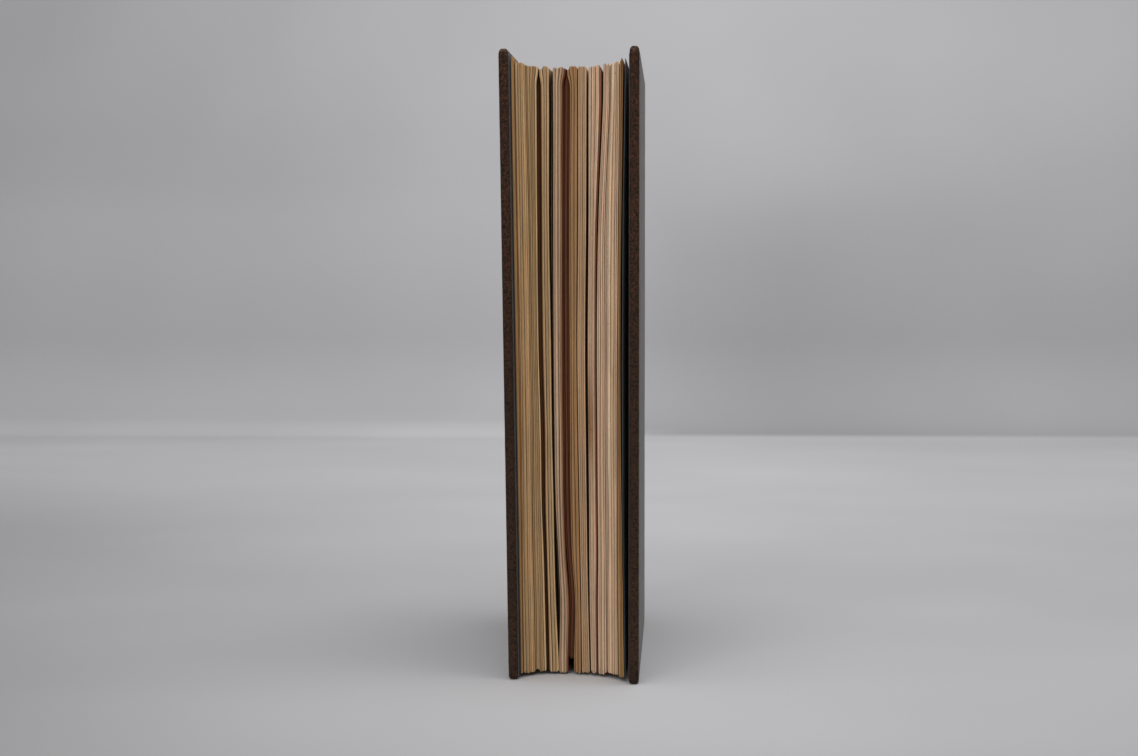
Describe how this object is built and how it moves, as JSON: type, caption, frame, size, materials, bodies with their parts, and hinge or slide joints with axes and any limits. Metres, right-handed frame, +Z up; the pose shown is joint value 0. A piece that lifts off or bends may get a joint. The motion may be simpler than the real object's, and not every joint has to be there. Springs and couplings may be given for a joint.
{
  "type": "hardback book",
  "caption": "Old full-leather hardback book, standing on its tail edges, with covers that swing open on a tight joint.",
  "frame": {"origin": "middle of the object's box on the surface that the book stands on, with both covers closed", "axes": "+X from the front cover to the back cover, +Y from the fore-edge to the spine, +Z up from tail to head"},
  "size_m": [0.0568, 0.196, 0.254],
  "materials": {
    "cover_leather": "dark brown grained leather, scuffed at the corners",
    "millboard": "dense grey-brown board",
    "infill_card": "plain card",
    "endpaper": "matt black paper",
    "toned_paper": "browned uncoated paper",
    "linen_tape": "woven linen",
    "mull_cloth": "open glued cotton",
    "kraft_paper": "brown lining paper",
    "band_thread": "wound thread"
  },
  "bodies": {
    "book_block": {"text_block": "toned_paper", "front_flyleaf": "endpaper", "back_flyleaf": "endpaper", "sewing_tapes": "linen_tape", "mull": "mull_cloth", "spine_hollow": "kraft_paper", "spine_leather": "cover_leather", "headband": "band_thread", "tailband": "band_thread"},
    "front_cover": {"front_cover_leather": "cover_leather", "front_board": "millboard", "front_infill": "infill_card", "front_pastedown": "endpaper"},
    "back_cover": {"back_cover_leather": "cover_leather", "back_board": "millboard", "back_infill": "infill_card", "back_pastedown": "endpaper"}
  },
  "joints": [
    {"name": "front_cover_hinge", "type": "hinge", "parent": "book_block", "child": "front_cover", "pos_m": [-0.02744, 0.08449, 0], "axis": [0, 0, -1], "range_deg": [0, 170]},
    {"name": "back_cover_hinge", "type": "hinge", "parent": "book_block", "child": "back_cover", "pos_m": [0.02716, 0.07549, 0], "axis": [0, 0, 1], "range_deg": [0, 170]}
  ]
}
